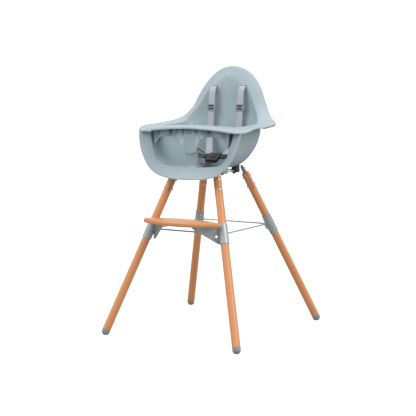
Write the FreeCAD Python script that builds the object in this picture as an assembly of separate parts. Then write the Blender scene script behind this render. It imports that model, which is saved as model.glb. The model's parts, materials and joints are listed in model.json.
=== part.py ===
import FreeCAD, Part
import os
import math

os.makedirs("parts", exist_ok=True)
V = FreeCAD.Vector

# Driving sizes in millimetres. Front is -Y, up is +Z, and the floor is z = 0.
foot_half_width_front = 260.0
foot_half_width_rear = 271.6
foot_depth_front = -292.0
foot_depth_rear = 292.0
knee_height = 477.0
knee_half_width = 110.5
knee_depth_front = -142.7
knee_depth_rear = 111.8
leg_radius = 14.0
foot_ball_height = 12.0
foot_cap_height = 21.0
sleeve_low = 335.0
sleeve_high = 398.0
sleeve_radius = 16.2
leg_top_height = 553.0
tongue_top_height = 580.0
tongue_thickness = 3.0
tongue_width = 22.0
bolt_heights = (540.0, 508.0)
bolt_radius = 3.0
stud_radius = 5.0
stud_length = 52.0

floor_low = 574.0
wall = 4.0
rim_height = 710.0
ring_half_width = 229.0
back_height = 930.0
shell_wall = 3.2

frame_half_width = 77.0
frame_front = -104.0
frame_rear = 64.0
frame_height = 563.3
rod_radius = 2.7
brace_height = 366.0

board_low = 391.5
board_thickness = 17.0
board_half_length = 151.0

strap_width = 25.0
strap_thickness = 1.6
slot_height = back_height - 72.0
slot_offset = 59.0

slide_gap = 0.3
touch_gap = 0.3

corners = {
    "front_left": (-1, -1),
    "front_right": (1, -1),
    "rear_left": (-1, 1),
    "rear_right": (1, 1),
}


def save(shape, name):
    shape.exportStep("parts/" + name + ".step")
    print(name, len(shape.Solids), round(shape.Volume / 1000.0, 2), shape.isValid())
    return shape


def join(shapes):
    result = shapes[0]
    for other in shapes[1:]:
        result = result.fuse(other)
    return result.removeSplitter()


def spline_wire(points):
    curve = Part.BSplineCurve()
    curve.interpolate(points, PeriodicFlag=True)
    return Part.Wire([curve.toShape()])


def spline_edge(points):
    curve = Part.BSplineCurve()
    curve.interpolate(points)
    return curve.toShape()


def flat_plate(points, along):
    face = Part.Face(Part.makePolygon(points + [points[0]]))
    return face.extrude(along)


def quad(a, b, c, d):
    return Part.makePolygon([a, b, c, d, a])


def mix(a, b, t):
    return a + (b - a) * t


def mirrored(shape):
    return shape.mirror(V(0, 0, 0), V(1, 0, 0))


# ---------------------------------------------------------------- legs
# Each leg is drawn upright from its foot centre, with local X pointing away from
# the chair, and then set along the line from its foot to its knee.
def leg_frame(side, end):
    if end < 0:
        foot = V(side * foot_half_width_front, foot_depth_front, foot_ball_height)
        knee = V(side * knee_half_width, knee_depth_front, knee_height)
    else:
        foot = V(side * foot_half_width_rear, foot_depth_rear, foot_ball_height)
        knee = V(side * knee_half_width, knee_depth_rear, knee_height)
    line = (knee - foot).normalize()
    sideways = line.cross(V(-line.x, -line.y, 0)).normalize()
    outward = sideways.cross(line).normalize()
    turn = FreeCAD.Rotation(outward, sideways, line, "ZXY")
    return FreeCAD.Placement(foot, turn), line


def leg_mark(line, height):
    return (height - foot_ball_height) / line.z


def leg_point(place, line, height):
    return place.multVec(V(0, 0, leg_mark(line, height)))


def put(shape, place):
    moved = shape.copy()
    moved.Placement = place
    return moved


sleeve_solids = {}
studs = []
sleeve_screws = []
leg_bolts = []
for name, (side, end) in corners.items():
    place, line = leg_frame(side, end)
    low = leg_mark(line, sleeve_low)
    high = leg_mark(line, sleeve_high)
    middle = 0.5 * (low + high)
    top = leg_mark(line, leg_top_height)
    cap_top = foot_cap_height - foot_ball_height

    # Foot cap: a cup round the leg end over a ball, cut level with the floor.
    ball = Part.makeSphere(leg_radius)
    band = Part.makeCylinder(leg_radius, cap_top)
    ball = ball.common(Part.makeBox(40, 40, 14 + cap_top, V(-20, -20, -14)))
    cap = put(ball.fuse(band), place)
    floor_cut = Part.makeBox(900, 900, 40, V(-450, -450, -40))
    cap = cap.cut(floor_cut).removeSplitter()
    save(cap, "foot_cap_" + name)

    # Lower leg: from the cap up into the sleeve, bored for the stud.
    lower = Part.makeCylinder(leg_radius, middle - cap_top - 0.5, V(0, 0, cap_top))
    bore_length = stud_length * 0.5 + 2
    bore = Part.makeCylinder(stud_radius + slide_gap, bore_length, V(0, 0, middle - 0.5 - bore_length))
    save(put(lower.cut(bore), place), "lower_leg_" + name)

    # Upper leg: round post with a sawn slot for the tongue and a bore for the stud.
    upper = Part.makeCylinder(leg_radius, top - middle, V(0, 0, middle))
    slot_low = leg_mark(line, 500.0)
    slot = Part.makeBox(
        tongue_thickness + 0.4, 60, top - slot_low + 5,
        V(-0.5 * tongue_thickness - 0.2, -30, slot_low),
    )
    slot_hole = Part.makeCylinder(2.6, 60, V(0, -30, slot_low), V(0, 1, 0))
    stud_bore = Part.makeCylinder(stud_radius, stud_length * 0.5, V(0, 0, middle))
    upper = upper.cut(slot).cut(slot_hole).cut(stud_bore)
    bolt_marks = [leg_mark(line, h) for h in bolt_heights]
    for mark in bolt_marks:
        # Bolts: dome heads outside, round nuts inside.
        shank = Part.makeCylinder(bolt_radius, 2 * leg_radius + 1, V(-leg_radius - 0.5, 0, mark), V(1, 0, 0))
        dome = Part.makeSphere(7.2, V(leg_radius - 3.9, 0, mark))
        dome = dome.common(Part.makeBox(20, 20, 20, V(leg_radius - 0.2, -10, mark - 10)))
        seat_ring = Part.makeCylinder(5.9, 1.2, V(leg_radius - 1.1, 0, mark), V(1, 0, 0))
        nut = Part.makeCylinder(4.6, 3.4, V(-leg_radius - 2.6, 0, mark), V(1, 0, 0))
        bolt = join([shank, dome, seat_ring, nut])
        upper = upper.cut(bolt)
        leg_bolts.append(put(bolt, place))
    save(put(upper, place), "upper_leg_" + name)

    # Stud that joins the two legs inside the sleeve.
    stud = Part.makeCylinder(stud_radius, stud_length, V(0, 0, middle - 0.5 * stud_length))
    studs.append(put(stud, place))

    # Sleeve with a lug on its inner side, where the braces and brackets are fixed.
    tube = Part.makeCylinder(sleeve_radius, high - low, V(0, 0, low))
    lug = Part.makeBox(9, 10, 26, V(-sleeve_radius - 6, -5, middle - 13))
    lug = lug.makeFillet(1.8, [e for e in lug.Edges if e.BoundBox.XLength < 0.1 and e.BoundBox.XMin < -20])
    tube = tube.fuse(lug)
    upper_part = Part.makeCylinder(leg_radius, high - middle, V(0, 0, middle))
    lower_part = Part.makeCylinder(leg_radius + slide_gap, middle - low, V(0, 0, low))
    tube = tube.cut(upper_part).cut(lower_part)
    screw_mark = leg_mark(line, 386.0)
    sleeve_solids[name] = put(tube, place)
    save(sleeve_solids[name], "leg_sleeve_" + name)

    # Screw head on the sleeve.
    head = Part.makeSphere(4.2, V(-sleeve_radius + 2.2, 0, screw_mark))
    head = head.cut(Part.makeCylinder(sleeve_radius, 40, V(0, 0, screw_mark - 20)))
    sleeve_screws.append(put(head, place))

    # Steel tongue: stands in the slot and reaches up to the seat frame.
    tongue_high = leg_mark(line, tongue_top_height)
    tongue = Part.makeBox(
        tongue_thickness, tongue_width, tongue_high - slot_low - 4,
        V(-0.5 * tongue_thickness, -0.5 * tongue_width, slot_low + 4),
    )
    for mark in bolt_marks:
        tongue = tongue.cut(Part.makeCylinder(bolt_radius, 60, V(-30, 0, mark), V(1, 0, 0)))
    tongue = put(tongue, place)

    corners[name] = (side, end, place, line, tongue)

save(Part.makeCompound(studs), "leg_studs")
save(Part.makeCompound(sleeve_screws), "sleeve_screws")
save(Part.makeCompound(leg_bolts), "leg_bolts")

# ---------------------------------------------------------------- seat frame
# A closed rod under the seat; the tongues are welded to its corners.
def rod_path(points, radius):
    shapes = []
    for first, last in zip(points[:-1], points[1:]):
        shapes.append(Part.makeCylinder(radius, (last - first).Length, first, last - first))
    for point in points[1:-1]:
        shapes.append(Part.makeSphere(radius, point))
    return join(shapes)


ring_points = [
    V(-frame_half_width + 14, frame_front, frame_height),
    V(frame_half_width - 14, frame_front, frame_height),
    V(frame_half_width - 4, frame_front + 4, frame_height),
    V(frame_half_width, frame_front + 14, frame_height),
    V(frame_half_width, frame_rear - 14, frame_height),
    V(frame_half_width - 4, frame_rear - 4, frame_height),
    V(frame_half_width - 14, frame_rear, frame_height),
    V(-frame_half_width + 14, frame_rear, frame_height),
    V(-frame_half_width + 4, frame_rear - 4, frame_height),
    V(-frame_half_width, frame_rear - 14, frame_height),
    V(-frame_half_width, frame_front + 14, frame_height),
    V(-frame_half_width + 4, frame_front + 4, frame_height),
    V(-frame_half_width + 14, frame_front, frame_height),
]
seat_frame = rod_path(ring_points, rod_radius)
seat_frame = seat_frame.fuse(Part.makeSphere(rod_radius, ring_points[0])).removeSplitter()

# ---------------------------------------------------------------- bucket
# Level sections: height, half width amidships, half width at the front, reach at the rear.
bucket_table = [
    (floor_low, 64.0, 92.0, 48.0),
    (floor_low + 7.0, 88.0, 109.0, 70.0),
    (594.0, 109.0, 123.5, 89.0),
    (612.0, 127.0, 141.5, 102.0),
    (640.0, 148.0, 153.5, 114.0),
    (678.0, 165.0, 164.0, 120.0),
    (735.0, 174.0, 174.0, 124.0),
]
broad = ring_half_width / 229.0
bucket_sections = [(z, a * broad, f * broad, b) for z, a, f, b in bucket_table]


# The bowl is drawn as upright D-shaped slices from the lip back to the rear wall.
lip_inner_depth = -146.0
lip_inner_lean = 0.09
lip_lean = 27.0 / 174.0
lip_edge = 4.5
lip_outer = [
    (205, 770), (203.5, 716), (202, 690), (193.5, 650), (174, 610),
    (149, 578), (122, 560), (88, 549), (46, 543.5),
]
lip_outer_low = 542.0
lip_inner = [
    (171, 770), (168, 716), (163.5, 690), (153, 650), (137.5, 611),
    (121, 596.5), (102, 590), (76, 587), (40, 586),
]
lip_inner_low = 586.0
outer_depths = (-84.0, -40.0, 0.0, 40.0, 70.0, 92.0, 106.0, 113.5)
inner_depths = (-120.0, -84.0, -40.0, 0.0, 40.0, 66.0, 86.0, 100.0, 108.0)


def lip_plane(height):
    return -160.0 - (716.0 - height) * lip_lean


def lip_inner_plane(height):
    return lip_inner_depth - (716.0 - height) * lip_inner_lean


def table_at(height, column):
    rows = bucket_sections
    if height <= rows[0][0]:
        return rows[0][column]
    for low, high in zip(rows[:-1], rows[1:]):
        if height <= high[0]:
            return mix(low[column], high[column], (height - low[0]) / (high[0] - low[0]))
    return rows[-1][column]


def half_width_at(height, depth, inset):
    # Half width of the bowl at this height and depth; none behind its rear wall.
    middle = table_at(height, 1) - inset
    if depth <= 0:
        return mix(middle, table_at(height, 2) - inset, -depth / 150.0)
    reach = table_at(height, 3) - inset
    if depth >= reach:
        return 0.0
    return middle * (1.0 - (depth / reach) ** 2.5) ** 0.4


def lowest_at(depth, inset):
    height = floor_low
    while height < 735.0 and half_width_at(height, depth, inset) <= 0.0:
        height += 0.5
    return height


def d_wire(points):
    row = points + [V(-p.x, p.y, p.z) for p in reversed(points[:-1])]
    return Part.Wire([spline_edge(row), Part.makeLine(row[-1], row[0])])


def bowl_wire(depth, inset, lift):
    low = lowest_at(depth, inset)
    points = []
    for share in (0.0, 0.28, 0.45, 0.62, 0.76, 0.86, 0.93, 0.975):
        height = mix(770.0, low, share)
        points.append(V(half_width_at(height, depth, inset), depth, height + lift * share))
    flat = half_width_at(low + 0.5, depth, inset)
    points.append(V(0.80 * flat, depth, low + lift + 0.3))
    points.append(V(0.42 * flat, depth, low + lift))
    points.append(V(0, depth, low + lift))
    return d_wire(points)


def lip_points(points, low, plane, inset):
    right = []
    for k, (x, z) in enumerate(points):
        before = points[max(k - 1, 0)]
        after = points[k + 1] if k + 1 < len(points) else (0.0, low)
        slope = V(after[0] - before[0], 0, after[1] - before[1]).normalize()
        height = z - slope.x * inset
        right.append(V(x * broad + slope.z * inset, plane(height), height))
    return right + [V(0, plane(low + inset), low + inset)]


def reach_plane(near, far, ahead):
    # Where the line from near through far meets the lip's plane moved ahead.
    goal = lip_plane(near.z) - ahead - near.y
    share = goal / (far.y - near.y - lip_lean * (far.z - near.z))
    return near + (far - near) * share


outer_lip = lip_points(lip_outer, lip_outer_low, lip_plane, 0.0)
edge_lip = lip_points(lip_outer, lip_outer_low, lip_plane, lip_edge)
inner_lip = lip_points(lip_inner, lip_inner_low, lip_inner_plane, 0.0)
ahead_lip = [reach_plane(q, p, 8.0) for p, q in zip(edge_lip, inner_lip)]
outer_rows = [d_wire(outer_lip)] + [bowl_wire(y, 0.0, 0.0) for y in outer_depths]
inner_rows = [d_wire(ahead_lip), d_wire(inner_lip)] + [bowl_wire(y, wall, wall) for y in inner_depths]
bucket_block = Part.makeLoft(outer_rows, True, False, False, 3)
bucket_hollow = Part.makeLoft(inner_rows, True, True)
rim_side = [
    V(-300, -400, rim_height - 18.5), V(-300, 300, rim_height + 10.5),
    V(-300, 300, 900), V(-300, -400, 900),
]
rim_cut = flat_plate(rim_side, V(600, 0, 0))
bucket = bucket_block.cut(bucket_hollow).cut(rim_cut)

# ---------------------------------------------------------------- upper shell
# Key curves, for the right half: outer edge, shoulder, and lower edge, from the
# middle of the front bar round to the top of the back.
edge_curve = [
    (0, -179, 719), (70, -178.5, 716.5), (135, -177.5, 711), (183, -172, 705.5), (212, -152, 707),
    (225, -116, 717), (229, -60, 720.5), (229, -4, 724), (225, 42, 728), (205, 78, 734.5),
    (177, 102, 751), (156, 115, 777), (140, 122.5, 808), (121, 131, 847), (93, 139.5, 886),
    (50, 143, 919), (0, 143.5, 930),
]
shoulder_curve = [
    (0, -104, 722), (62, -104, 721), (112, -101, 719), (142, -92, 717), (155, -76, 718),
    (160, -50, 720), (160, -18, 722), (157, 14, 725), (150, 42, 731), (143, 64, 745),
    (134, 80, 768), (119, 93, 791), (104, 103, 819), (86, 110.5, 846), (64, 115.5, 867),
    (33, 119, 883), (0, 120, 888),
]
lower_curve = [
    (0, -98, 696), (60, -98, 695), (108, -95, 695), (136, -87, 694), (147, -72, 694),
    (152, -48, 694), (152, -20, 692), (149, 8, 686), (140, 32, 674), (124, 52, 655),
    (107, 67, 640), (91, 75, 628), (75, 78, 618), (61, 80, 611), (44, 82, 607),
    (24, 83, 604), (0, 83, 603),
]


def sized(table):
    # Widths follow the arm ring, and heights above the rim follow the back.
    rise = (back_height - rim_height) / 220.0
    return [(x * broad, y, rim_height + (z - 710.0) * (rise if z > 760 else 1.0)) for x, y, z in table]


edge_curve = sized(edge_curve)
shoulder_curve = sized(shoulder_curve)
lower_curve = sized(lower_curve)
across = ((0.0, 0.0), (0.035, 2.6), (0.13, 4.4), (0.38, 5.6), (0.72, 4.0), (1.0, 0.0))
down = (0.16, 0.5, 1.0)


column_count = 36
marks = [0.0]
for first, second in zip(edge_curve[:-1], edge_curve[1:]):
    marks.append(marks[-1] + (V(*second) - V(*first)).Length)


def ring_line(table):
    # One smooth line through a table, carried a little past both ends onto the other half.
    right = [V(*p) for p in table]
    left = [V(-p.x, p.y, p.z) for p in right]
    points = left[3:0:-1] + right + left[-2:-5:-1]
    end = marks[-1]
    spots = [-m for m in marks[3:0:-1]] + marks + [2 * end - m for m in marks[-2:-5:-1]]
    curve = Part.BSplineCurve()
    curve.interpolate(Points=points, Parameters=spots)
    return curve


edge_line = ring_line(edge_curve)
shoulder_line = ring_line(shoulder_curve)
lower_line = ring_line(lower_curve)


def shell_column(index):
    mark = marks[-1] * index / column_count
    edge = edge_line.value(mark)
    shoulder = shoulder_line.value(mark)
    lower = lower_line.value(mark)
    blend = min(1.0, max(0.0, (edge.z - 736.0) / 60.0))
    up = V(0, -blend, 1.0 - blend)
    if up.Length < 0.1:
        up = V(0, -1, 0)
    up.normalize()
    inward = shoulder - edge
    inward = (inward - up * inward.dot(up)).normalize()
    skirt = mix(3.6, 4.6, blend)
    column = [edge - up * skirt + inward * 0.3, edge - up * (skirt * 0.45) - inward * 0.1]
    for t, rise in across:
        column.append(mix(edge, shoulder, t) + up * rise)
    for t in down:
        lean = 4.0 * t * (1 - t)
        column.append(mix(shoulder, lower, t) + V(0, 4.0, 0) * lean * blend)
    return column


def under_columns(columns):
    # The inner skin, one wall thickness behind the outer one.
    result = []
    for k in range(1, len(columns) - 1):
        row = []
        for j in range(len(columns[k])):
            low = max(j - 1, 0)
            high = min(j + 1, len(columns[k]) - 1)
            along = columns[k + 1][j] - columns[k - 1][j]
            over = columns[k][high] - columns[k][low]
            normal = along.cross(over).normalize()
            row.append(columns[k][j] - normal * shell_wall)
        result.append(row)
    return result


columns = [shell_column(k) for k in range(-3, column_count + 4)]
under = under_columns(columns)
columns = columns[1:-1]
sections = []
for top_row, under_row in zip(columns, under):
    foot = Part.makeLine(top_row[-1], under_row[-1])
    head = Part.makeLine(under_row[0], top_row[0])
    back = spline_edge(list(reversed(under_row)))
    sections.append(Part.Wire([spline_edge(top_row), foot, back, head]))
half_shell = Part.makeLoft(sections, True, False)
half_shell = half_shell.common(Part.makeBox(400, 800, 800, V(0, -400, 400)))
shell = half_shell.fuse(mirrored(half_shell))

# Apron with two leg arches, hung under the front bar, and the post between the legs.
apron_front = -158.0
apron_sweep = 9.0
apron_outline = [
    (0, 722.5), (70, 721), (132, 715.5), (149, 712), (150, 690), (146, 648), (141, 664), (128, 680),
    (108, 687), (72, 687.5), (46, 679), (31, 660), (24, 636), (0, 630),
]
apron_half = [V(x * broad, -200, z) for x, z in apron_outline]
apron_line = apron_half + [V(-p.x, p.y, p.z) for p in reversed(apron_half[1:-1])]
apron_block = flat_plate(apron_line, V(0, 80, 0))


def apron_depth(x):
    return apron_front + apron_sweep * (x / 149.0) ** 2


apron_front_line = [V(x, apron_depth(x), 600) for x in range(-160, 161, 20)]
apron_back_line = [V(p.x, p.y + 3.5, 600) for p in reversed(apron_front_line)]
apron_plan = Part.Wire([
    spline_edge(apron_front_line), Part.makeLine(apron_front_line[-1], apron_back_line[0]),
    spline_edge(apron_back_line), Part.makeLine(apron_back_line[-1], apron_front_line[0]),
])
apron = Part.Face(apron_plan).extrude(V(0, 0, 140)).common(apron_block)


def post_section(height, depth, half_width, thickness):
    points = []
    for k in range(16):
        angle = 2 * math.pi * k / 16
        c = math.cos(angle)
        s = math.sin(angle)
        x = half_width * math.copysign(abs(c) ** 0.6, c)
        y = depth + 0.5 * thickness * math.copysign(abs(s) ** 0.6, s)
        points.append(V(x, y, height))
    return spline_wire(points)


post_foot = floor_low + wall + touch_gap
post_rows = [
    (698, -151, 30, 14), (672, -150, 27.5, 16), (645, -145, 24.5, 19),
    (612, -137, 22.5, 22), (post_foot, -131, 24, 26),
]
post = Part.makeLoft([post_section(*row) for row in post_rows], True, False)

ribs = []
for x in (-75, -25, 25, 75):
    rib = [V(x - 1.2, -176, 715), V(x - 1.2, -155, 720), V(x - 1.2, -155, 697)]
    ribs.append(flat_plate(rib, V(2.4, 0, 0)))

# Side fins that steady the shell inside the bucket.
fin = [V(0, -147.5, 712), V(0, -90, 711), V(0, -100, 690), V(0, -147.5, 650)]
fin_solid = flat_plate([V(144.5, p.y, p.z) for p in fin], V(3, 0, 0))
seat_shell = shell
for piece in [apron, post] + ribs + [fin_solid, mirrored(fin_solid)]:
    seat_shell = seat_shell.fuse(piece)

# Harness slots through the back.
for side in (-1, 1):
    slot_corner = V(side * slot_offset - 0.5 * strap_width - 1.5, 85, slot_height - 2.5)
    slot_box = Part.makeBox(strap_width + 3, 60, 5, slot_corner)
    seat_shell = seat_shell.cut(slot_box)
seat_shell = seat_shell.cut(bucket)
save(seat_shell, "upper_shell")
save(bucket, "seat_bucket")

# ---------------------------------------------------------------- seat frame mounting
for name, (side, end, place, line, tongue) in corners.items():
    tongue = tongue.cut(bucket_block)
    tongue = tongue.cut(seat_frame)
    save(tongue, "leg_tongue_" + name)
save(seat_frame, "seat_frame")

block_depths = {"front": -58.0, "rear": 26.0}
clamp_bolts = []
for end_name, y in block_depths.items():
    for side_name, side in (("left", -1), ("right", 1)):
        label = end_name + "_" + side_name
        x = side * frame_half_width
        block = Part.makeBox(22, 24, 30, V(x - 11, y - 12, frame_height - 5.5))
        edges = [e for e in block.Edges if e.BoundBox.ZLength > 20]
        block = block.makeFillet(3.0, edges)
        rod_bore = Part.makeCylinder(rod_radius, 60, V(x, y - 30, frame_height), V(0, 1, 0))
        block = block.cut(bucket_block).cut(rod_bore)
        block = block.cut(Part.makeCylinder(2.2, 60, V(x - side * 6.5, y, frame_height - 30)))
        solids = sorted(block.Solids, key=lambda s: s.BoundBox.ZMin)
        save(solids[0], "frame_clamp_" + label)
        knob = Part.makeCylinder(5.2, 5.0, V(x - side * 6.5, y, frame_height - 10.7))
        knob = knob.fuse(Part.makeCylinder(2.2, 14, V(x - side * 6.5, y, frame_height - 6)))
        knob = knob.cut(bucket_block)
        clamp_bolts.append(knob.removeSplitter())
save(Part.makeCompound(clamp_bolts), "clamp_bolts")

# ---------------------------------------------------------------- braces between the sleeves
order = ["front_left", "front_right", "rear_right", "rear_left", "front_left"]
brace_names = ["brace_front", "brace_right", "brace_rear", "brace_left"]
for brace, first, second in zip(brace_names, order[:-1], order[1:]):
    start = leg_point(corners[first][2], corners[first][3], brace_height)
    finish = leg_point(corners[second][2], corners[second][3], brace_height)
    inward = V(-0.5 * (start.x + finish.x), -0.5 * (start.y + finish.y), 0).normalize() * 7.0
    rod = Part.makeCylinder(rod_radius, (finish - start).Length, start + inward, finish - start)
    solid = rod
    for name in (first, second):
        place, line = corners[name][2], corners[name][3]
        core = put(Part.makeCylinder(sleeve_radius, 120, V(0, 0, leg_mark(line, 366) - 60)), place)
        solid = solid.cut(core).cut(sleeve_solids[name])
    solid = max(solid.Solids, key=lambda s: s.Volume)
    save(solid, brace)

# ---------------------------------------------------------------- footrest
board_half = [
    (0, -260), (38, -257.5), (74, -249.5), (106, -238), (134, -226), (149, -215.5), (147, -205),
    (128, -196.5), (104, -183), (76, -172), (40, -167), (0, -165.5),
]
board_right = [V(x, y, board_low) for x, y in board_half]
board_left = [V(-p.x, p.y, p.z) for p in reversed(board_right[1:-1])]
board = Part.Face(spline_wire(board_right + board_left)).extrude(V(0, 0, board_thickness))
board = board.makeFillet(6.5, [e for e in board.Edges if e.BoundBox.ZLength < 0.1])
save(board, "footrest_board")

footrest_screws = []
for side_name, side in (("left", -1), ("right", 1)):
    tip = V(side * 60, -238, 0)
    root = V(side * 121, -186, 0)
    along = (root - tip).normalize()
    across_plate = V(-along.y, along.x, 0) * side
    top = board_low - touch_gap
    reach = (root - tip).Length
    web = [
        tip + V(0, 0, top), root + along * 14 + V(0, 0, top),
        root + along * 26 + V(0, 0, 332), root + along * 8 + V(0, 0, 332), tip + V(0, 0, top - 6),
    ]
    plate = flat_plate(web, across_plate * 2.5)
    wing = [
        tip + V(0, 0, top), tip + along * reach + V(0, 0, top),
        tip + along * reach - across_plate * 16 + V(0, 0, top),
        tip + along * 14 - across_plate * 16 + V(0, 0, top),
    ]
    plate = plate.fuse(flat_plate(wing, V(0, 0, -2.5)))
    hole = Part.makeCylinder(4.2, 60, root + along * 2 - across_plate * 30 + V(0, 0, 358), across_plate)
    plate = plate.cut(hole)
    name = "front_" + side_name
    place, line = corners[name][2], corners[name][3]
    core = put(Part.makeCylinder(sleeve_radius, 300, V(0, 0, leg_mark(line, 366) - 150)), place)
    plate = plate.cut(core).cut(sleeve_solids[name])
    plate = max(plate.Solids, key=lambda s: s.Volume)
    save(plate, "footrest_bracket_" + side_name)
    for t in (0.25, 0.8):
        spot = tip + along * reach * t - across_plate * 8
        head = Part.makeCylinder(4.2, 2.2, spot + V(0, 0, top - 4.7))
        footrest_screws.append(head)
save(Part.makeCompound(footrest_screws), "footrest_screws")

# ---------------------------------------------------------------- harness
buckle_centre = V(0, 4, 607)
buckle_tilt = 28.0
buckle_width = 46.0
buckle_length = 50.0
buckle_thick = 13.0
button_radius = 9.0
button_travel = 2.5
slide_top = V(slot_offset - 0.5, 93.0, slot_height - 36.0)
slide_low = V(slot_offset - 0.5, 83.0, slot_height - 136.0)

buckle_turn = FreeCAD.Placement(buckle_centre, FreeCAD.Rotation(V(1, 0, 0), buckle_tilt))


def webbing(points, widths, thickness):
    # Flat strap through a row of points; each width vector lies across the strap.
    rows = []
    for k, point in enumerate(points):
        before = points[max(k - 1, 0)]
        after = points[min(k + 1, len(points) - 1)]
        along = (after - before).normalize()
        half = widths[k] * 0.5
        face = along.cross(half).normalize() * (0.5 * thickness)
        rows.append(quad(point - half - face, point + half - face, point + half + face, point - half + face))
    return Part.makeLoft(rows, True, True)


for side_name, side in (("left", -1), ("right", 1)):
    end_spot = buckle_turn.multVec(V(side * 34, 22.6, 0))
    route = [
        V(side * slot_offset, 128, slot_height - 1), V(side * slot_offset, 112, slot_height),
        V(side * slot_offset, 101, slot_height - 9),
        V(side * slide_top.x, slide_top.y, slide_top.z), V(side * slide_low.x, slide_low.y, slide_low.z),
        V(side * 57, 76, 684), V(side * 52, 64, 655), V(side * 42, 45, 634), end_spot,
    ]
    widths = [V(strap_width, 0, 0)] * len(route)
    save(webbing(route, widths, strap_thickness), "shoulder_strap_" + side_name)

    keeper = Part.makeBox(36, 7, 9, V(side * slot_offset - 18, 129.0, slot_height - 5.5))
    keeper = keeper.makeFillet(2.0, [e for e in keeper.Edges if e.BoundBox.XLength > 30])
    save(keeper, "strap_anchor_" + side_name)

    # Adjuster: a flat loop round the strap with two cross bars.
    axis = (slide_low - slide_top).normalize()
    axis = V(0, axis.y, axis.z)
    turn = FreeCAD.Rotation(V(0, 0, -1), axis)
    body = Part.makeBox(33, 6.4, 25, V(-16.5, -3.2, -12.5))
    body = body.makeFillet(1.8, [e for e in body.Edges if e.BoundBox.YLength > 5])
    passage = V(-0.5 * strap_width - 0.5, -0.5 * strap_thickness - 0.45, -20)
    body = body.cut(Part.makeBox(strap_width + 1.0, strap_thickness + 0.9, 40, passage))
    for z in (-8.0, 2.0):
        body = body.cut(Part.makeBox(22, 6, 5.5, V(-11, -6.5, z)))
    spot = V(side * slide_top.x, mix(slide_top.y, slide_low.y, 0.4), mix(slide_top.z, slide_low.z, 0.4))
    save(put(body, FreeCAD.Placement(spot, turn)), "strap_adjuster_" + side_name)

    tongue = Part.makeBox(21.5, 24, 6, V(23.3, -2, -3))
    tongue = tongue.makeFillet(2.0, [e for e in tongue.Edges if e.BoundBox.ZLength > 5])
    if side < 0:
        tongue = mirrored(tongue)
    save(put(tongue, buckle_turn), "buckle_tongue_" + side_name)

    hook = buckle_turn.multVec(V(side * 45.2, 8, 0))
    lap = [hook, V(side * 66, 22, 610), V(side * 88, 30, 611), V(side * 106, 36, 612)]
    across_lap = [V(0, 17.6, 9.4), V(0, 17, 11), V(0, 12, 16), V(-side * 2, 10, 17)]
    save(webbing(lap, across_lap, strap_thickness), "lap_strap_" + side_name)

body = Part.makeBox(buckle_width, buckle_length, buckle_thick, V(-23, -25, -6.5))
body = body.makeFillet(4.0, [e for e in body.Edges if e.BoundBox.ZLength > 10])
body = body.makeFillet(1.8, [e for e in body.Edges if e.BoundBox.ZLength < 0.1])
body = body.cut(Part.makeCylinder(button_radius + slide_gap, 6.5, V(0, 2, 1.5)))
save(put(body, buckle_turn), "buckle_body")
button = Part.makeCylinder(button_radius, 4.0, V(0, 2, 1.5 + button_travel + 0.4))
button = button.makeFillet(0.8, [button.Edges[0]])
save(put(button, buckle_turn), "buckle_button")
crotch_end = buckle_turn.multVec(V(0, -25.2, 0))
crotch = [V(0, -66, floor_low + 5.2), V(0, -50, floor_low + 6), V(0, -34, floor_low + 11), crotch_end]
save(webbing(crotch, [V(strap_width, 0, 0)] * 4, strap_thickness), "crotch_strap")
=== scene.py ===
import json
import math
import bmesh
import bpy
from mathutils import Matrix, Vector
from mathutils.bvhtree import BVHTree

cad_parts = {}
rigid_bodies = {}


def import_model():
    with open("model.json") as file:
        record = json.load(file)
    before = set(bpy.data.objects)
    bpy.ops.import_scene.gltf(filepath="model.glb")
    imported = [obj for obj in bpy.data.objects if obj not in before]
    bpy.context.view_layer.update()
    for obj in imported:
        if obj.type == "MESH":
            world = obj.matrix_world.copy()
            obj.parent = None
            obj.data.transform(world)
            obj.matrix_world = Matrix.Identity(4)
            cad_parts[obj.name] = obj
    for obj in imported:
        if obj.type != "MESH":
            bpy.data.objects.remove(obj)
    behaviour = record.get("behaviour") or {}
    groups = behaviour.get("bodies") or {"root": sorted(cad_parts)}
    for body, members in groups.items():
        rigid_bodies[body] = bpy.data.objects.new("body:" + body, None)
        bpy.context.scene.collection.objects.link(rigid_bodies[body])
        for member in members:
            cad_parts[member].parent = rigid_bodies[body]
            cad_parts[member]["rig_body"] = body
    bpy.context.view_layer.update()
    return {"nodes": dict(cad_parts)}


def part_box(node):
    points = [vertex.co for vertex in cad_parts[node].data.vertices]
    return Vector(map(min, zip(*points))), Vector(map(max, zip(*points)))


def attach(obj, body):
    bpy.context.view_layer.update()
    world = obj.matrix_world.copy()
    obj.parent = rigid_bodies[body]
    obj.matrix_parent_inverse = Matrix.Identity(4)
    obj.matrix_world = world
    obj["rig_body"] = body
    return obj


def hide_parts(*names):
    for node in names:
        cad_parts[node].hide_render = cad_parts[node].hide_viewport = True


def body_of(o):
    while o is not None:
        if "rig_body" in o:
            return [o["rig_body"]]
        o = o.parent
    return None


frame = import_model()
nodes = frame["nodes"]
scene = bpy.context.scene
scene.view_settings.view_transform = "Standard"
print("frame loaded", len(nodes), "nodes")


# camera, floor and light

cameraView = {"position": (1.8882, -3.2239, 0.8627), "target": (-0.020, 0.0, 0.4279), "lens": 91.9}
studio = {
    "skyStrength": 0.84,
    "floorColor": (0.32, 0.32, 0.32, 1),
    "floorShade": (0.30, 0.30, 0.303, 1),
    "floorGlow": 0.80,
    "wallGlow": 1.1,
    "key": {"place": (-2.0, -2.2, 2.7), "size": 1.8, "power": 44.0, "tint": (1.0, 0.99, 0.97)},
    "fill": {"place": (3.0, -0.6, 2.2), "size": 2.0, "power": 46.0, "tint": (1.0, 0.96, 0.91)},
    "top": {"place": (0.2, 0.6, 3.0), "size": 2.4, "power": 20.0, "tint": (1.0, 1.0, 1.0)},
}


def aim(obj, target):
    direction = Vector(target) - obj.location
    obj.rotation_euler = direction.to_track_quat("-Z", "Y").to_euler()


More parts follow.
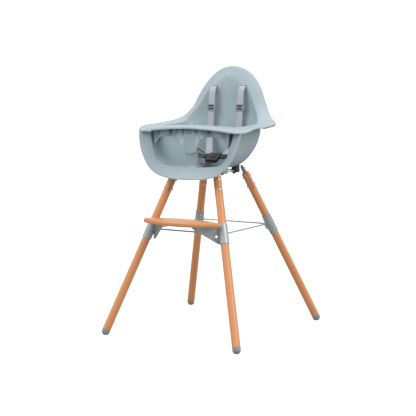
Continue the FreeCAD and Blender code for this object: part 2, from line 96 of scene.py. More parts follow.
def addObject(name, data):
    obj = bpy.data.objects.new(name, data)
    scene.collection.objects.link(obj)
    return obj


def makeCamera(view):
    data = bpy.data.cameras.new("studioCamera")
    data.lens = view["lens"]
    data.sensor_width = 36
    camera = addObject("studioCamera", data)
    camera.location = view["position"]
    aim(camera, view["target"])
    scene.camera = camera


def makeLight(name, place, size, power, tint):
    data = bpy.data.lights.new(name, "AREA")
    data.shape = "DISK"
    data.size = size
    data.energy = power
    data.color = tint
    lamp = addObject(name, data)
    lamp.location = place
    aim(lamp, (0, 0, 0.5))


makeCamera(cameraView)
world = bpy.data.worlds.new("studioWorld")
world.use_nodes = True
world.node_tree.nodes["Background"].inputs[0].default_value = (1, 1, 1, 1)
world.node_tree.nodes["Background"].inputs[1].default_value = studio["skyStrength"]
scene.world = world
for lampName in ("key", "fill", "top"):
    makeLight(lampName + "Light", **studio[lampName])
print("camera and lights set")


# finishes

class Shade:  # a socket that can be used in sums
    def __init__(self, finish, socket):
        self.finish = finish
        self.socket = socket

    def worked(self, operation, first, second=None):
        return self.finish.node("ShaderNodeMath", {"operation": operation}, {0: first, 1: second})

    def __add__(self, other):
        return self.worked("ADD", self, other)

    def __radd__(self, other):
        return self.worked("ADD", other, self)

    def __sub__(self, other):
        return self.worked("SUBTRACT", self, other)

    def __rsub__(self, other):
        return self.worked("SUBTRACT", other, self)

    def __mul__(self, other):
        return self.worked("MULTIPLY", self, other)

    def __rmul__(self, other):
        return self.worked("MULTIPLY", other, self)

    def sine(self):
        return self.worked("SINE", self)

    def arcsine(self):
        return self.worked("ARCSINE", self)

    def size(self):
        return self.worked("ABSOLUTE", self)

    def within(self, low, high):  # 0 at low, 1 at high, smooth between
        links = {0: self, 1: low, 2: high, 3: 0.0, 4: 1.0}
        return self.finish.node("ShaderNodeMapRange", {"interpolation_type": "SMOOTHSTEP"}, links)


class Finish:  # one material and the nodes behind it
    sockets = {
        "color": "Base Color", "roughness": "Roughness", "metallic": "Metallic", "normal": "Normal",
        "coat": "Coat Weight", "glow": "Emission Color",
    }

    def __init__(self, name, fixed):
        self.material = bpy.data.materials.new(name)
        self.material.use_nodes = True
        self.tree = self.material.node_tree
        self.shader = self.tree.nodes["Principled BSDF"]
        for socket, value in fixed.items():
            self.shader.inputs[socket].default_value = value

    def feed(self, slot, value):
        if isinstance(value, Shade):
            self.tree.links.new(value.socket, slot)
        elif value is not None:
            slot.default_value = value

    def node(self, kind, settings=None, links=None, out=0):
        made = self.tree.nodes.new(kind)
        for key, value in (settings or {}).items():
            setattr(made, key, value)
        for key, value in (links or {}).items():
            self.feed(made.inputs[key], value)
        return Shade(self, made.outputs[out])

    def place(self):
        return self.node("ShaderNodeTexCoord", out="Object")

    def onStrap(self):
        return self.node("ShaderNodeUVMap", {"uv_map": "strap"})

    def parts(self, vector):
        split = self.node("ShaderNodeSeparateXYZ", links={"Vector": vector})
        return [Shade(self, out) for out in split.socket.node.outputs]

    def vector(self, operation, first, second=None, out=0):
        return self.node("ShaderNodeVectorMath", {"operation": operation}, {0: first, 1: second}, out)

    def scaled(self, vector, amount):
        return self.node("ShaderNodeVectorMath", {"operation": "SCALE"}, {0: vector, 3: amount})

    def noise(self, vector, scale, detail=2.0, roughness=0.5):
        links = {"Vector": vector, "Scale": scale, "Detail": detail, "Roughness": roughness}
        return self.node("ShaderNodeTexNoise", links=links)

    def blend(self, amount, first, second):
        return self.node("ShaderNodeMix", {"data_type": "RGBA"}, {0: amount, 6: first, 7: second}, 2)

    def bump(self, height, strength, distance):
        links = {"Height": height, "Strength": strength, "Distance": distance}
        return self.node("ShaderNodeBump", links=links)

    def dress(self, **values):
        for key, value in values.items():
            self.feed(self.shader.inputs[self.sockets[key]], value)
        return self.material


fullTurn = 2 * math.pi


def linear(red, green, blue):  # the colour as the shaders want it
    out = []
    for value in (red, green, blue):
        c = value / 255.0
        out.append(c / 12.92 if c <= 0.04045 else ((c + 0.055) / 1.055) ** 2.4)
    return (*out, 1.0)


shellLook = {"color": (162, 179, 186), "pale": (174, 190, 196), "dark": (152, 169, 176), "roughness": 0.40}


def makeShellPlastic():
    f = Finish("shellPlastic", {"IOR": 1.48, "Specular IOR Level": 0.42})
    p = f.place()
    cloud = f.noise(p, 9.0, 3.0)
    grain = f.noise(p, 2600.0, 2.0, 0.6)
    orange = f.noise(p, 340.0, 2.0)
    streaks = f.noise(f.vector("MULTIPLY", p, (260.0, 900.0, 60.0)), 1.0, 2.0)
    scuffs = streaks.within(0.66, 0.74) * f.noise(p, 22.0).within(0.52, 0.64)
    tone = (cloud - 0.5) * 0.9 + (grain - 0.5) * 0.35 + 0.5
    base = f.blend(tone.within(0.0, 1.0), linear(*shellLook["dark"]), linear(*shellLook["color"]))
    color = f.blend(scuffs * 0.35, base, linear(*shellLook["pale"]))
    rough = shellLook["roughness"] + (cloud - 0.5) * 0.08 + (orange - 0.5) * 0.10 + scuffs * 0.12
    height = grain * 0.5 + orange * 0.6 - scuffs * 0.5
    return f.dress(color=color, roughness=rough, normal=f.bump(height, 0.10, 0.0004))


woodLook = {
    "light": (224, 158, 104), "middle": (212, 139, 86), "dark": (184, 110, 63), "fleck": (150, 84, 48),
    "ring": 0.0046,
}


def makeBeech(name, axis, mirroredSides, ringCentre):
    f = Finish(name, {"IOR": 1.5, "Coat Roughness": 0.22})
    axis = Vector(axis).normalized()
    p = f.place()
    if mirroredSides:
        p = f.vector("ABSOLUTE", p)
    along = f.vector("DOT_PRODUCT", p, tuple(axis), "Value")
    across = f.vector("SUBTRACT", p, f.scaled(tuple(axis), along))
    stretched = f.vector("ADD", across, f.scaled(tuple(axis), along * 0.05))
    slow = f.vector("ADD", across, f.scaled(tuple(axis), along * 0.012))
    fibre = f.noise(stretched, 1500.0, 4.0, 0.62)
    strand = f.noise(stretched, 420.0, 3.0, 0.55)
    drift = f.noise(slow, 60.0, 2.0)
    far = f.vector("LENGTH", f.vector("SUBTRACT", across, ringCentre), None, "Value")
    ring = ((far + drift * 0.011) * (fullTurn / woodLook["ring"])).sine() * 0.5 + 0.5
    short = f.vector("ADD", across, f.scaled(tuple(axis), along * 0.16))
    flecks = f.noise(short, 900.0, 1.0).within(0.67, 0.76)
    patch = f.noise(slow, 26.0, 2.0)
    tone = (strand * 0.55 + ring * 0.28 + patch * 0.35).within(0.25, 0.95)
    warm = f.blend(tone, linear(*woodLook["middle"]), linear(*woodLook["light"]))
    worn = f.blend((1.0 - fibre).within(0.42, 0.78) * 0.42, warm, linear(*woodLook["dark"]))
    color = f.blend(flecks * 0.40, worn, linear(*woodLook["fleck"]))
    rough = 0.40 + (fibre - 0.5) * 0.18 + flecks * 0.08
    height = fibre * 0.8 + ring * 0.15 - flecks * 0.5
    coat = 0.22 + strand * 0.16
    return f.dress(color=color, roughness=rough, coat=coat, normal=f.bump(height, 0.16, 0.0003))


steelLook = {"dark": (156, 166, 168), "light": (170, 180, 181), "speck": (168, 178, 178)}


def makePaintedSteel():
    f = Finish("paintedSteel", {"IOR": 1.5, "Coat Roughness": 0.3})
    p = f.place()
    cloud = f.noise(p, 30.0, 3.0)
    peel = f.noise(p, 900.0, 2.0, 0.6)
    specks = f.noise(p, 2400.0, 1.0).within(0.62, 0.72)
    base = f.blend(cloud.within(0.25, 0.75), linear(*steelLook["dark"]), linear(*steelLook["light"]))
    color = f.blend(specks * 0.25, base, linear(*steelLook["speck"]))
    metallic = 0.30 + specks * 0.35
    rough = 0.36 + (peel - 0.5) * 0.20 + (cloud - 0.5) * 0.10
    coat = 0.25 + cloud * 0.2
    relief = f.bump(peel, 0.12, 0.0003)
    return f.dress(color=color, roughness=rough, metallic=metallic, coat=coat, normal=relief)


brightLook = {"dark": (0.62, 0.63, 0.65, 1), "light": (0.80, 0.81, 0.82, 1)}


def makeBrightSteel():
    f = Finish("brightSteel", {"IOR": 2.5})
    p = f.place()
    cloud = f.noise(p, 240.0, 3.0)
    scratch = f.noise(f.vector("MULTIPLY", p, (3000.0, 900.0, 260.0)), 1.0, 2.0)
    color = f.blend(cloud.within(0.3, 0.8), brightLook["dark"], brightLook["light"])
    rough = 0.14 + cloud * 0.10 + scratch.within(0.6, 0.75) * 0.14
    metallic = 1.0 - cloud.within(0.74, 0.86) * 0.12
    return f.dress(color=color, roughness=rough, metallic=metallic, normal=f.bump(scratch, 0.06, 0.0001))


darkLook = {
    "dark": (0.012, 0.013, 0.014, 1), "light": (0.024, 0.025, 0.027, 1), "worn": (0.075, 0.078, 0.08, 1),
}


def makeDarkPlastic():
    f = Finish("darkPlastic", {"IOR": 1.5})
    p = f.place()
    cloud = f.noise(p, 90.0, 3.0)
    grain = f.noise(p, 2200.0, 2.0, 0.6)
    scuffs = f.noise(f.vector("MULTIPLY", p, (900.0, 300.0, 1200.0)), 1.0, 2.0).within(0.68, 0.76)
    base = f.blend(cloud.within(0.2, 0.8), darkLook["dark"], darkLook["light"])
    color = f.blend(scuffs * 0.5, base, darkLook["worn"])
    rough = 0.40 + (grain - 0.5) * 0.22 + scuffs * 0.12
    return f.dress(color=color, roughness=rough, normal=f.bump(grain, 0.22, 0.0003))


greyLook = {"dark": (120, 136, 146), "light": (134, 150, 159), "grain": (158, 172, 180)}


def makeGreyPlastic():
    f = Finish("greyPlastic", {"IOR": 1.5})
    p = f.place()
    cloud = f.noise(p, 120.0, 3.0)
    grain = f.noise(p, 2400.0, 2.0, 0.6)
    base = f.blend(cloud.within(0.2, 0.8), linear(*greyLook["dark"]), linear(*greyLook["light"]))
    color = f.blend(grain.within(0.55, 0.8) * 0.2, base, linear(*greyLook["grain"]))
    return f.dress(color=color, roughness=0.38 + (grain - 0.5) * 0.2, normal=f.bump(grain, 0.15, 0.0003))


paintedShadeLook = {"dark": (40, 48, 48), "light": (54, 62, 62)}  # painted shade for pockets and slots


# near-black plastic that stands in for the shade inside pockets and slots
def makePaintedShadePlastic():
    f = Finish("paintedShadePlastic", {"IOR": 1.45, "Specular IOR Level": 0.2})
    p = f.place()
    cloud = f.noise(p, 160.0, 3.0)
    grain = f.noise(p, 2200.0, 2.0, 0.6)
    color = f.blend(cloud.within(0.25, 0.75), linear(*paintedShadeLook["dark"]), linear(*paintedShadeLook["light"]))
    return f.dress(color=color, roughness=0.6 + (grain - 0.5) * 0.2, normal=f.bump(grain, 0.2, 0.0003))


rubberLook = {"dark": (128, 139, 140), "light": (141, 151, 152), "lowDark": (92, 92, 88), "lowDarkHeight": 0.007}


def makeFootRubber():
    f = Finish("footRubber", {"IOR": 1.46})
    p = f.place()
    cloud = f.noise(p, 60.0, 3.0)
    grain = f.noise(p, 1800.0, 3.0, 0.65)
    height = f.parts(p)[2]
    # darker in patches towards the bottom of the cap
    lowDark = (1.0 - height.within(0.0, rubberLook["lowDarkHeight"])) * cloud.within(0.35, 0.7)
    base = f.blend(cloud.within(0.2, 0.8), linear(*rubberLook["dark"]), linear(*rubberLook["light"]))
    color = f.blend(lowDark * 0.5, base, linear(*rubberLook["lowDark"]))
    return f.dress(color=color, roughness=0.58 + (grain - 0.5) * 0.25, normal=f.bump(grain, 0.3, 0.0003))


weave = {"thread": 0.0012, "pick": 0.0015, "zigzag": 0.0084, "edge": (0.0108, 0.0116)}
webLook = {"light": (206, 205, 216), "middle": (190, 189, 200), "dark": (140, 139, 151)}
darkWebLook = {"light": (62, 63, 68), "middle": (44, 45, 49), "dark": (22, 23, 26)}


def makeWebbing(name, look):
    f = Finish(name, {"IOR": 1.45, "Sheen Weight": 0.25, "Sheen Roughness": 0.5})
    u, v = f.parts(f.onStrap())[:2]
    zigzag = (u * (fullTurn / weave["zigzag"])).sine().arcsine() * 0.9
    warp = (u * (fullTurn / weave["thread"])).sine()
    weft = (v * (fullTurn / weave["pick"]) + zigzag * 3.2).sine()
    height = warp * 0.35 + weft * 0.35 + warp * weft * 0.45
    fuzz = f.noise(f.onStrap(), 2600.0, 3.0, 0.6)
    soil = f.noise(f.onStrap(), 60.0, 3.0)
    # darker towards both edges of the strap: painted shade along the strap's edges
    edge = u.size().within(*weave["edge"])
    tone = (height * 0.3 + 0.5 + (fuzz - 0.5) * 0.5).within(0.1, 0.95)
    base = f.blend(tone, linear(*look["dark"]), linear(*look["light"]))
    calm = f.blend(0.35 + soil * 0.2, base, linear(*look["middle"]))
    color = f.blend(edge * 0.35, calm, linear(*look["dark"]))
    rough = 0.72 + (fuzz - 0.5) * 0.2
    return f.dress(color=color, roughness=rough, normal=f.bump(height + fuzz * 0.4, 0.55, 0.0004))


frontLegAxis = Vector((-0.1495, -0.1493, 0.465)).normalized()
rearLegAxis = Vector((-0.1611, -0.1802, 0.465)).normalized()


def ringSpot(foot, axis, shift):  # where the tree's heart lies, seen along the leg
    spot = Vector(foot) + Vector(shift)
    return tuple(spot - axis * spot.dot(axis))


frontHeart = ringSpot((0.26, 0.292, 0.012), frontLegAxis, (0.03, -0.02, 0))
rearHeart = ringSpot((0.2716, 0.292, 0.012), rearLegAxis, (-0.02, 0.03, 0))
finish = {
    "shell": makeShellPlastic(),
    "beechFront": makeBeech("beechFront", frontLegAxis, True, frontHeart),
    "beechRear": makeBeech("beechRear", rearLegAxis, True, rearHeart),
    "beechBoard": makeBeech("beechBoard", (1.0, 0.02, 0.0), False, (0.0, -0.235, 0.325)),
    "steel": makePaintedSteel(),
    "bright": makeBrightSteel(),
    "dark": makeDarkPlastic(),
    "grey": makeGreyPlastic(),
    "paintedShade": makePaintedShadePlastic(),
    "rubber": makeFootRubber(),
    "web": makeWebbing("webbing", webLook),
    "darkWeb": makeWebbing("darkWebbing", darkWebLook),
}
print("finishes made", len(finish))


# floor and backdrop

def makeFloorFinish():
    f = Finish("paleFloor", {"Specular IOR Level": 0.2})
    cloud = f.noise(f.place(), 1.2, 3.0)
    color = f.blend(cloud, studio["floorShade"], studio["floorColor"])
    return f.dress(color=color, roughness=0.6 + cloud * 0.1)


def makeGlow(name, near, far, start, reach, clear):  # light that is seen but does not fall on the chair
    f = Finish(name, {"Base Color": (0, 0, 0, 1), "Specular IOR Level": 0.0, "Emission Strength": 1.0})
    away = f.vector("LENGTH", f.place(), None, "Value").within(start, reach)
    f.dress(glow=f.blend(away, (near, near, near, 1), (far, far, far, 1)))
    if clear:
        sheer = f.node("ShaderNodeBsdfTransparent")
        both = f.node("ShaderNodeAddShader", links={0: sheer, 1: Shade(f, f.shader.outputs[0])})
        f.feed(f.tree.nodes["Material Output"].inputs["Surface"], both)
    return f.material


def onlySeen(obj):
    obj.visible_diffuse = False
    obj.visible_glossy = False
    obj.visible_transmission = False
    obj.visible_volume_scatter = False
    obj.visible_shadow = False


def makeSheet(name, half, height, material):
    mesh = bpy.data.meshes.new(name)
    corners = [(-half, -half, height), (half, -half, height), (half, half, height), (-half, half, height)]
    mesh.from_pydata(corners, [], [(0, 1, 2, 3)])
    mesh.materials.append(material)
    sheet = addObject(name, mesh)
    return sheet


makeSheet("floor", 30, 0.0, makeFloorFinish())
floorLight = makeGlow("floorGlow", studio["floorGlow"], studio["wallGlow"], 0.5, 4.5, True)
glowSheet = makeSheet("floorGlow", 30, 0.0003, floorLight)
onlySeen(glowSheet)
domeShape = bmesh.new()
bmesh.ops.create_uvsphere(domeShape, u_segments=48, v_segments=24, radius=28)
domeMesh = bpy.data.meshes.new("backdrop")
domeShape.to_mesh(domeMesh)
domeShape.free()
wallLight = makeGlow("backdropGlow", studio["wallGlow"], studio["wallGlow"], 0.0, 1.0, False)
domeMesh.materials.append(wallLight)
backdrop = addObject("backdrop", domeMesh)
onlySeen(backdrop)


# shaping tools

def curvePoints(points, spacing):  # a smooth line through the points, evenly spaced
    points = [Vector(p) for p in points]
    ends = [points[0] * 2 - points[1]] + points + [points[-1] * 2 - points[-2]]
    fine = []
    for k in range(1, len(ends) - 2):
        a, b, c, d = ends[k - 1], ends[k], ends[k + 1], ends[k + 2]
        for step in range(24):
            t = step / 24
            bend = (2 * a - 5 * b + 4 * c - d) * t * t + (3 * b - a - 3 * c + d) * t ** 3
            fine.append(0.5 * (2 * b + (c - a) * t + bend))
    fine.append(points[-1])
    marks = [0.0]
    for first, second in zip(fine, fine[1:]):
        marks.append(marks[-1] + (second - first).length)
    count = max(2, round(marks[-1] / spacing))
    result = []
    k = 0
    for step in range(count + 1):
        goal = marks[-1] * step / count
        while k < len(marks) - 2 and marks[k + 1] < goal:
            k += 1
        share = (goal - marks[k]) / max(marks[k + 1] - marks[k], 1e-9)
        result.append(fine[k].lerp(fine[k + 1], share))
    return result


def roundedOutline(wide, high, bend):  # a flat ring of points round a rounded oblong
    spots = []
    for cornerX, cornerZ, start in ((1, 1, 0), (-1, 1, 90), (-1, -1, 180), (1, -1, 270)):
        for step in range(4):
            angle = math.radians(start + 30 * step)
            x = cornerX * (wide / 2 - bend) + math.cos(angle) * bend
            z = cornerZ * (high / 2 - bend) + math.sin(angle) * bend
            spots.append((x, z))
    return spots


def makeMesh(name, verts, faces, material, sharpAngle=40.0):
    mesh = bpy.data.meshes.new(name)
    mesh.from_pydata([tuple(v) for v in verts], [], faces)
    mesh.validate()
    mesh.materials.append(material)
    mesh.shade_smooth()
    mesh.set_sharp_from_angle(angle=math.radians(sharpAngle))
    return addObject(name, mesh)


def settle(obj, sharpAngle=40.0):  # applies the modifiers
    graph = bpy.context.evaluated_depsgraph_get()
    mesh = bpy.data.meshes.new_from_object(obj.evaluated_get(graph))
    obj.modifiers.clear()
    obj.data = mesh
    mesh.shade_smooth()
    mesh.set_sharp_from_angle(angle=math.radians(sharpAngle))


easing = {"weld": 2e-6, "flatAngle": 0.4, "edgeAngle": 32.0, "steps": 2, "sharpAngle": 45.0}


def easedCopy(nodeName, pieceName, material, width):
    # the part's own shape, with its edges eased as a mould leaves them
    source = nodes[nodeName].data
    work = bmesh.new()
    work.from_mesh(source)
    bmesh.ops.remove_doubles(work, verts=work.verts, dist=easing["weld"])
    flat = math.radians(easing["flatAngle"])
    bmesh.ops.dissolve_limit(work, angle_limit=flat, verts=work.verts, edges=work.edges)
    mesh = bpy.data.meshes.new(pieceName)
    work.to_mesh(mesh)
    work.free()
    mesh.materials.clear()
    mesh.materials.append(material)
    obj = addObject(pieceName, mesh)
    ease = obj.modifiers.new("ease", "BEVEL")
    ease.limit_method = "ANGLE"
    ease.angle_limit = math.radians(easing["edgeAngle"])
    ease.width = width
    ease.segments = easing["steps"]
    ease.miter_outer = "MITER_ARC"
    ease.use_clamp_overlap = True
    settle(obj, easing["sharpAngle"])
    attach(obj, body_of(nodes[nodeName])[0])
    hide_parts(nodeName)


def paint(nodeName, material):
    slots = nodes[nodeName].data.materials
    for k in range(len(slots)):
        slots[k] = material


# moulded shell and bucket

shellEase = {"shell": 0.0006, "bucket": 0.0009}
easedCopy("upper_shell", "upperShell", finish["shell"], shellEase["shell"])
easedCopy("seat_bucket", "seatBucket", finish["shell"], shellEase["bucket"])
print("moulded shell and bucket shaped")


# wood, steel and rubber that keep their CAD shape

for nodeName in nodes:
    if nodeName.startswith(("lower_leg_front", "upper_leg_front")):
        paint(nodeName, finish["beechFront"])
    elif nodeName.startswith(("lower_leg_rear", "upper_leg_rear")):
        paint(nodeName, finish["beechRear"])
    elif nodeName.startswith(("leg_sleeve", "brace", "seat_frame", "leg_tongue", "leg_studs")):
        paint(nodeName, finish["steel"])
    elif nodeName.startswith(("leg_bolts", "sleeve_screws", "footrest_screws")):
        paint(nodeName, finish["bright"])
    elif nodeName.startswith("foot_cap"):
        paint(nodeName, finish["rubber"])
    elif nodeName.startswith("frame_clamp_front"):
        paint(nodeName, finish["steel"])
    elif nodeName.startswith(("clamp_bolts", "strap_anchor", "frame_clamp")):
        paint(nodeName, finish["dark"])
print("legs and frame finished")

for side in ("left", "right"):
    easedCopy("footrest_bracket_" + side, "footrestBracket_" + side, finish["steel"], 0.0005)
    easedCopy("strap_adjuster_" + side, "strapAdjuster_" + side, finish["grey"], 0.0004)
    easedCopy("buckle_tongue_" + side, "buckleTongue_" + side, finish["dark"], 0.0005)
easedCopy("footrest_board", "footrestBoard", finish["beechBoard"], 0.0008)
easedCopy("buckle_body", "buckleBody", finish["dark"], 0.0003)
easedCopy("buckle_button", "buckleButton", finish["dark"], 0.0003)
print("small parts shaped")


# harness webbing

harness = {
    "width": 0.025,
    "thickness": 0.0016,
    "slot": (0.059, 0.858),
    "buckle": (0.0, 0.004, 0.607),
    "tilt": 28.0,
    "spacing": 0.0025,
    "lanes": 12,
    "edgeThinning": 0.45,
}
buckleTurn = Matrix.Translation(harness["buckle"]) @ Matrix.Rotation(math.radians(harness["tilt"]), 4, "X")


def makeStrap(name, nodeName, route, acrossLine, webbing):
    line = curvePoints(route, harness["spacing"])
    lanes = harness["lanes"]
    half = harness["width"] / 2
    verts = []
    coords = []
    travelled = 0.0
    for k, spot in enumerate(line):
        before = line[max(k - 1, 0)]
        after = line[min(k + 1, len(line) - 1)]
        if k:
            travelled += (spot - before).length
        along = (after - before).normalized()
        share = k / (len(line) - 1) * (len(acrossLine) - 1)
        low = min(int(share), len(acrossLine) - 2)
        across = Vector(acrossLine[low]).lerp(Vector(acrossLine[low + 1]), share - low)
        across = (across - along * across.dot(along)).normalized()
        up = along.cross(across).normalized()
        loop = []
        for lane in range(lanes + 1):
            u = -half + 2 * half * lane / lanes
            thin = harness["thickness"] * 0.5 * (1 - harness["edgeThinning"] * (abs(u) / half) ** 8)
            loop.append((u, thin))
        loop += [(u, -thin) for u, thin in reversed(loop)]
        for u, lift in loop:
            verts.append(spot + across * u + up * lift)
            coords.append((u, travelled))
    ringSize = 2 * (lanes + 1)
    faces = []
    for k in range(len(line) - 1):
        for j in range(ringSize):
            a = k * ringSize + j
            b = k * ringSize + (j + 1) % ringSize
            faces.append((a, b, b + ringSize, a + ringSize))
    faces.append(tuple(reversed(range(ringSize))))
    last = (len(line) - 1) * ringSize
    faces.append(tuple(range(last, last + ringSize)))
    obj = makeMesh(name, verts, faces, webbing, 60.0)
    layer = obj.data.uv_layers.new(name="strap")
    for loop in obj.data.loops:
        layer.data[loop.index].uv = coords[loop.vertex_index]
    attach(obj, body_of(nodes[nodeName])[0])
    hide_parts(nodeName)


slotX, slotZ = harness["slot"]
for side, sign in (("left", -1), ("right", 1)):
    end = buckleTurn @ Vector((sign * 0.034, 0.0226, 0))
    route = [
        (sign * slotX, 0.128, slotZ - 0.001), (sign * slotX, 0.112, slotZ),
        (sign * slotX, 0.101, slotZ - 0.009),
        (sign * (slotX - 0.0005), 0.093, slotZ - 0.036), (sign * (slotX - 0.0005), 0.083, slotZ - 0.136),
        (sign * 0.057, 0.076, 0.684), (sign * 0.052, 0.064, 0.655), (sign * 0.042, 0.045, 0.634), tuple(end),
    ]
    makeStrap("shoulderStrap_" + side, "shoulder_strap_" + side, route, [(1, 0, 0), (1, 0, 0)], finish["web"])
    hook = buckleTurn @ Vector((sign * 0.0452, 0.008, 0))
    lap = [
        tuple(hook), (sign * 0.066, 0.022, 0.610), (sign * 0.088, 0.030, 0.611), (sign * 0.106, 0.036, 0.612),
    ]
    turns = [(0, 17.6, 9.4), (0, 17, 11), (0, 12, 16), (-sign * 2, 10, 17)]
    makeStrap("lapStrap_" + side, "lap_strap_" + side, lap, turns, finish["darkWeb"])
crotchEnd = buckleTurn @ Vector((0, -0.0252, 0))
crotch = [(0, -0.066, 0.5792), (0, -0.050, 0.580), (0, -0.034, 0.585), tuple(crotchEnd)]
makeStrap("crotchStrap", "crotch_strap", crotch, [(1, 0, 0), (1, 0, 0)], finish["darkWeb"])
print("straps woven")


# small mouldings: bucket collar, flange ribs; dark pieces of painted shade: corner marks, slot liners,
# adjuster slots

def surfaceOf(nodeName):
    mesh = nodes[nodeName].data
    return BVHTree.FromPolygons([v.co for v in mesh.vertices], [tuple(p.vertices) for p in mesh.polygons])


shellSurface = surfaceOf("upper_shell")
bucketSurface = surfaceOf("seat_bucket")
collarLook = {
    "centre": (0.0, -0.02, 0.0), "low": 0.684, "wall": 0.0022, "inset": 0.0006, "reach": 0.045, "steps": 96,
    "start": -52, "sweep": 284, "hitHeight": 0.003, "roofGap": 0.0006, "openRise": 0.004,
}


def collarPiece():  # the bucket's thin upper edge, which stands up under the flange
    centre = Vector(collarLook["centre"])
    low = collarLook["low"]
    gap = collarLook["roofGap"]
    rows = []
    for step in range(collarLook["steps"] + 1):
        angle = math.radians(collarLook["start"] + collarLook["sweep"] * step / collarLook["steps"])
        out = Vector((math.cos(angle), math.sin(angle), 0))
        hit = bucketSurface.ray_cast(centre + Vector((0, 0, low + collarLook["hitHeight"])), out)[0]
        if hit is None:
            rows.append(None)
            continue
        inner = hit + out * collarLook["inset"]
        outer = inner + out * collarLook["wall"]
        roof = shellSurface.ray_cast((inner + outer) * 0.5, Vector((0, 0, 1)), collarLook["reach"])[0]
        top = roof.z - gap if roof else inner.z + collarLook["openRise"]
        middle = (inner + outer) * 0.5
        rows.append([
            (inner.x, inner.y, low), (inner.x, inner.y, top - gap), (middle.x, middle.y, top),
            (outer.x, outer.y, top - gap), (outer.x, outer.y, low),
        ])
    verts = []
    faces = []
    starts = []
    for row in rows:
        starts.append(len(verts) if row else None)
        verts += row or []
    for first, second in zip(starts, starts[1:]):
        if first is None or second is None:
            continue
        for j in range(5):
            k = (j + 1) % 5
            faces.append((first + j, second + j, second + k, first + k))
    for here, before, after in zip(starts, [None] + starts[:-1], starts[1:] + [None]):
        if here is not None and before is None:
            faces.append(tuple(here + j for j in range(5)))
        if here is not None and after is None:
            faces.append(tuple(here + j for j in reversed(range(5))))
    return makeMesh("bucketCollar", verts, faces, finish["shell"], 50.0)


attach(collarPiece(), "chair")

ribLook = {
    "route": [
        (0.229, -0.060, 0.7205), (0.229, -0.004, 0.724), (0.225, 0.042, 0.728), (0.205, 0.078, 0.7345),
        (0.177, 0.102, 0.751),
    ],
    "pitch": 0.0094,
    "wide": 0.0034,
    "deep": 0.0046,
    "drop": 0.0042,
    "inset": 0.0012,
}


def taperedBlock(verts, faces, spot, along, inward, look):
    up = Vector((0, 0, 1))
    base = len(verts)
    for height, narrow in ((0.001, 1.0), (-look["drop"] * 0.7, 0.86), (-look["drop"], 0.55)):
        for sideways, back in ((-1, 0), (1, 0), (1, 1), (-1, 1)):
            depth = look["deep"] * back * narrow
            verts.append(spot + along * sideways * look["wide"] * 0.5 * narrow + inward * depth + up * height)
    for level in (0, 4):
        for j in range(4):
            k = (j + 1) % 4
            faces.append((base + level + j, base + level + k, base + level + 4 + k, base + level + 4 + j))
    faces.append((base, base + 3, base + 2, base + 1))
    faces.append((base + 8, base + 9, base + 10, base + 11))


def flangeRibs(name, sign):
    line = curvePoints([(sign * x, y, z) for x, y, z in ribLook["route"]], ribLook["pitch"])
    verts = []
    faces = []
    for before, spot, after in zip(line, line[1:], line[2:]):
        along = (after - before).normalized()
        inward = Vector((-spot.x, -spot.y, 0)).normalized()
        inward = (inward - along * inward.dot(along)).normalized()
        inward.z = 0
        seat = spot + inward * ribLook["inset"]
        under = shellSurface.ray_cast(Vector((seat.x, seat.y, 0.66)) + inward * 0.002, Vector((0, 0, 1)))[0]
        taperedBlock(verts, faces, Vector((seat.x, seat.y, under.z)), along, inward, ribLook)
    ribs = makeMesh(name, verts, faces, finish["shell"], 30.0)
    work = bmesh.new()
    work.from_mesh(ribs.data)
    bmesh.ops.recalc_face_normals(work, faces=work.faces)
    work.to_mesh(ribs.data)
    work.free()
    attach(ribs, "chair")


flangeRibs("flangeRibs_left", -1)
flangeRibs("flangeRibs_right", 1)

markLook = {
    "corners": [(-0.158, 0.700), (-0.139, 0.697), (-0.142, 0.676)],
    "lift": 0.0009, "thick": 0.0012, "rows": 5, "outside": 0.4,
}


def cornerMark(name, sign):  # a dark three-cornered sheet on the bucket's wall under the flange, painted shade of a pocket
    def onWall(y, z, lift):
        start = Vector((sign * markLook["outside"], y, z))
        hit, normal = bucketSurface.ray_cast(start, Vector((-sign, 0, 0)))[:2]
        if normal.x * sign < 0:
            normal = -normal
        return hit + normal * lift
    first, second, third = markLook["corners"]
    rim = []
    for a, b in ((first, second), (second, third), (third, first)):
        for step in range(markLook["rows"]):
            t = 0.06 + 0.88 * step / markLook["rows"]
            rim.append((a[0] + (b[0] - a[0]) * t, a[1] + (b[1] - a[1]) * t))
    middle = (sum(y for y, z in rim) / len(rim), sum(z for y, z in rim) / len(rim))
    verts = [onWall(*middle, markLook["lift"])]
    verts += [onWall(y, z, markLook["lift"]) for y, z in rim]
    verts += [onWall(y, z, -markLook["thick"]) for y, z in rim]
    count = len(rim)
    faces = []
    for k in range(count):
        after = (k + 1) % count
        faces.append((0, 1 + k, 1 + after))
        faces.append((1 + k, 1 + count + k, 1 + count + after, 1 + after))
    faces.append(tuple(range(count + count, count, -1)))
    mark = makeMesh(name, verts, faces, finish["paintedShade"], 50.0)
    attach(mark, "chair")


cornerMark("cornerPaintedShade_left", -1)
cornerMark("cornerPaintedShade_right", 1)

linerLook = {"wide": 0.0276, "high": 0.0046, "wall": 0.0007, "end": 0.1288, "round": 0.0012, "inset": 0.0008}


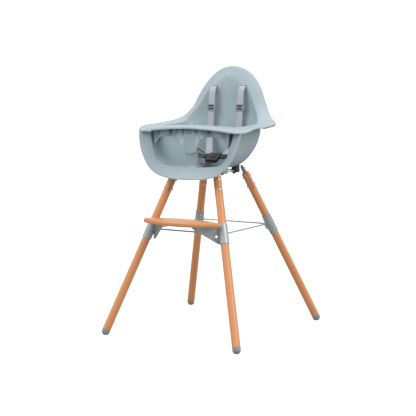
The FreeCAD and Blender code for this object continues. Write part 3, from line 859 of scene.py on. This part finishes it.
# a dark sleeve behind each strap slot: painted shade where the slot falls dark
def slotShadeLiner(name, centreX, centreZ):
    def ringAt(shrink):
        wide = linerLook["wide"] - 2 * shrink
        high = linerLook["high"] - 2 * shrink
        bend = max(linerLook["round"] - shrink, 0.0002)
        return [(centreX + x, centreZ + z) for x, z in roundedOutline(wide, high, bend)]
    outside = ringAt(0.0)
    inside = ringAt(linerLook["wall"])
    count = len(outside)
    verts = []
    for spots in (outside, inside):
        for x, z in spots:
            over = z + (0.006 if z > centreZ else -0.006)
            hit = shellSurface.ray_cast(Vector((x, 0.0, over)), Vector((0, 1, 0)))[0]
            verts.append(Vector((x, hit.y + linerLook["inset"], z)))
        verts += [Vector((x, linerLook["end"], z)) for x, z in spots]
    faces = []
    for k in range(count):
        j = (k + 1) % count
        faces.append((k, count + k, count + j, j))
        faces.append((2 * count + k, 2 * count + j, 3 * count + j, 3 * count + k))
        faces.append((k, j, 2 * count + j, 2 * count + k))
        faces.append((count + k, 3 * count + k, 3 * count + j, count + j))
    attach(makeMesh(name, verts, faces, finish["paintedShade"], 40.0), "chair")


slotShadeLiner("slotShadeLiner_left", -harness["slot"][0], harness["slot"][1])
slotShadeLiner("slotShadeLiner_right", *harness["slot"])

cheekLook = {
    "wide": 0.0155, "thick": 0.003, "legRadius": 0.014, "gap": 0.0008, "short": 0.004, "corner": 0.004,
    "ease": 0.0006,
}


def tongueCheek(side, sign):  # the folded half of the steel bracket above a rear leg
    line = Vector((sign * rearLegAxis.x, rearLegAxis.y, rearLegAxis.z))
    tongue = nodes["leg_tongue_rear_" + side].data
    middle = sum((v.co for v in tongue.vertices), Vector()) / len(tongue.vertices)
    slope = math.sqrt(1 - line.z ** 2)
    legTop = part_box("upper_leg_rear_" + side)[1][2] - cheekLook["legRadius"] * slope
    low = (legTop - middle.z) / line.z + cheekLook["gap"]
    high = (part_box("leg_tongue_rear_" + side)[1][2] - middle.z) / line.z - cheekLook["short"]
    sideways = line.cross(Vector((-line.x, -line.y, 0))).normalized()
    outward = sideways.cross(line).normalized()
    half = cheekLook["wide"] / 2
    cut = cheekLook["corner"]
    outline = [
        (-half, low), (half, low), (half, high - cut), (half - cut, high), (cut - half, high),
        (-half, high - cut),
    ]
    verts = []
    for lift in (-0.5, 0.5):
        verts += [middle + outward * a + line * t + sideways * lift * cheekLook["thick"] for a, t in outline]
    count = len(outline)
    faces = [tuple(reversed(range(count))), tuple(range(count, 2 * count))]
    faces += [(k, (k + 1) % count, count + (k + 1) % count, count + k) for k in range(count)]
    cheek = makeMesh("tongueCheek_" + side, verts, faces, finish["steel"], 40.0)
    ease = cheek.modifiers.new("ease", "BEVEL")
    ease.width = cheekLook["ease"]
    ease.segments = 2
    settle(cheek)
    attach(cheek, "chair")


tongueCheek("left", -1)
tongueCheek("right", 1)

slideLook = {
    "centre": (0.0585, 0.089, 0.782), "tilt": 5.71, "wide": 0.0215, "high": 0.0054,
    "rows": (-0.00525, 0.00475), "front": -0.00118, "back": -0.00092,
}


def adjusterSlotShade(side, sign):  # dark plates in the adjuster's windows, painted shade of the slots that the strap is threaded through
    turn = Matrix.Translation((sign * slideLook["centre"][0], *slideLook["centre"][1:]))
    turn = turn @ Matrix.Rotation(math.radians(-slideLook["tilt"]), 4, "X")
    verts = []
    faces = []
    for row in slideLook["rows"]:
        base = len(verts)
        outline = [(x, row + z) for x, z in roundedOutline(slideLook["wide"], slideLook["high"], 0.001)]
        verts += [turn @ Vector((x, slideLook["front"], z)) for x, z in outline]
        verts += [turn @ Vector((x, slideLook["back"], z)) for x, z in outline]
        count = len(outline)
        for k in range(count):
            j = (k + 1) % count
            faces.append((base + k, base + j, base + count + j, base + count + k))
        faces.append(tuple(base + k for k in reversed(range(count))))
        faces.append(tuple(base + count + k for k in range(count)))
    slots = makeMesh("adjusterSlotShade_" + side, verts, faces, finish["paintedShade"], 40.0)
    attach(slots, body_of(nodes["strap_adjuster_" + side])[0])


adjusterSlotShade("left", -1)
adjusterSlotShade("right", 1)
print("small mouldings added")
